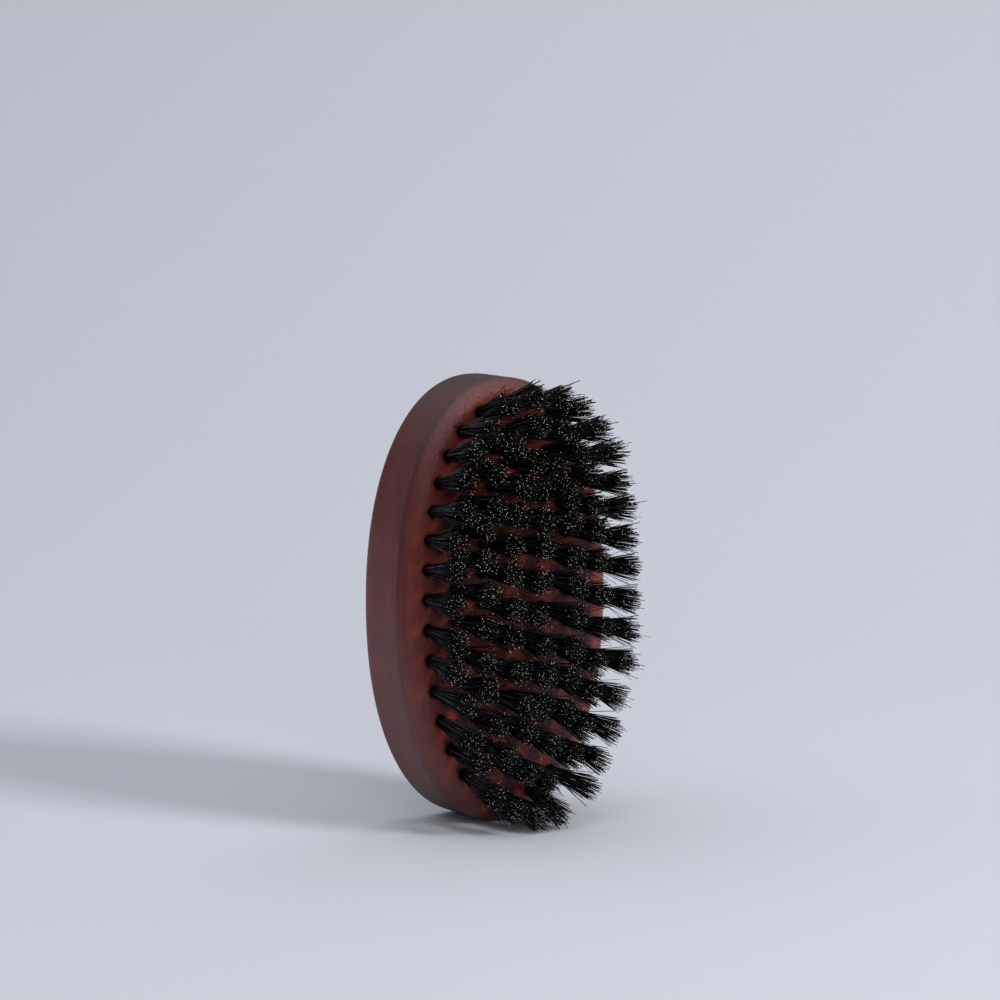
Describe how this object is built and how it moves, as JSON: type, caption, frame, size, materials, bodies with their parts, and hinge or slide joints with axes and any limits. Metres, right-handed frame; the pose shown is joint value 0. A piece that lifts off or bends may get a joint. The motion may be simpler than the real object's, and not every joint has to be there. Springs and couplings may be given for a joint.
{
  "type": "palm bristle brush",
  "caption": "Oval palm brush for beard and hair care: one-piece stained wooden back with stiff dark bristle tufts in nested ovals.",
  "frame": {"origin": "centre of the bounding box's bottom, on the surface that the brush stands on with its lower end", "axes": "+Z along the brush's length, from the lower end it stands on to the upper end; the bristles point along -Y and the flat palm side faces +Y; +X across the width"},
  "size_m": [0.056, 0.032, 0.1001],
  "materials": {
    "stained_wood": "satin reddish-brown stain with fine grain along the length",
    "dark_bristle": "near-black natural bristle with a soft sheen and paler cut ends"
  },
  "bodies": {
    "root": {"wooden_back": "stained_wood", "outer_pair_01": "dark_bristle", "outer_tuft_01": "dark_bristle", "outer_tuft_02": "dark_bristle", "outer_tuft_03": "dark_bristle", "outer_tuft_04": "dark_bristle", "outer_tuft_05": "dark_bristle", "outer_tuft_06": "dark_bristle", "outer_tuft_07": "dark_bristle", "outer_tuft_08": "dark_bristle", "outer_tuft_09": "dark_bristle", "outer_tuft_10": "dark_bristle", "outer_tuft_11": "dark_bristle", "outer_tuft_12": "dark_bristle", "outer_tuft_13": "dark_bristle", "outer_tuft_14": "dark_bristle", "outer_tuft_15": "dark_bristle", "outer_tuft_16": "dark_bristle", "outer_tuft_17": "dark_bristle", "outer_tuft_18": "dark_bristle", "outer_tuft_19": "dark_bristle", "outer_tuft_20": "dark_bristle", "outer_tuft_21": "dark_bristle", "outer_tuft_22": "dark_bristle", "outer_tuft_23": "dark_bristle", "outer_tuft_24": "dark_bristle", "outer_tuft_25": "dark_bristle", "outer_tuft_26": "dark_bristle", "outer_tuft_27": "dark_bristle", "outer_tuft_28": "dark_bristle", "outer_tuft_29": "dark_bristle", "outer_tuft_30": "dark_bristle", "outer_tuft_31": "dark_bristle", "second_oval_pair_01": "dark_bristle", "second_oval_pair_02": "dark_bristle", "second_oval_pair_03": "dark_bristle", "second_oval_pair_04": "dark_bristle", "second_oval_pair_05": "dark_bristle", "second_oval_pair_06": "dark_bristle", "second_oval_pair_07": "dark_bristle", "second_oval_pair_08": "dark_bristle", "second_oval_pair_09": "dark_bristle", "second_oval_pair_10": "dark_bristle", "second_oval_pair_11": "dark_bristle", "second_oval_pair_12": "dark_bristle", "second_oval_pair_13": "dark_bristle", "third_oval_pair_01": "dark_bristle", "third_oval_pair_02": "dark_bristle", "third_oval_pair_03": "dark_bristle", "third_oval_pair_04": "dark_bristle", "third_oval_pair_05": "dark_bristle", "third_oval_pair_06": "dark_bristle", "third_oval_pair_07": "dark_bristle", "third_oval_pair_08": "dark_bristle", "third_oval_pair_09": "dark_bristle", "third_oval_pair_10": "dark_bristle", "middle_row_pair_01": "dark_bristle", "middle_row_pair_02": "dark_bristle", "middle_row_pair_03": "dark_bristle", "middle_row_pair_04": "dark_bristle"}
  },
  "joints": []
}
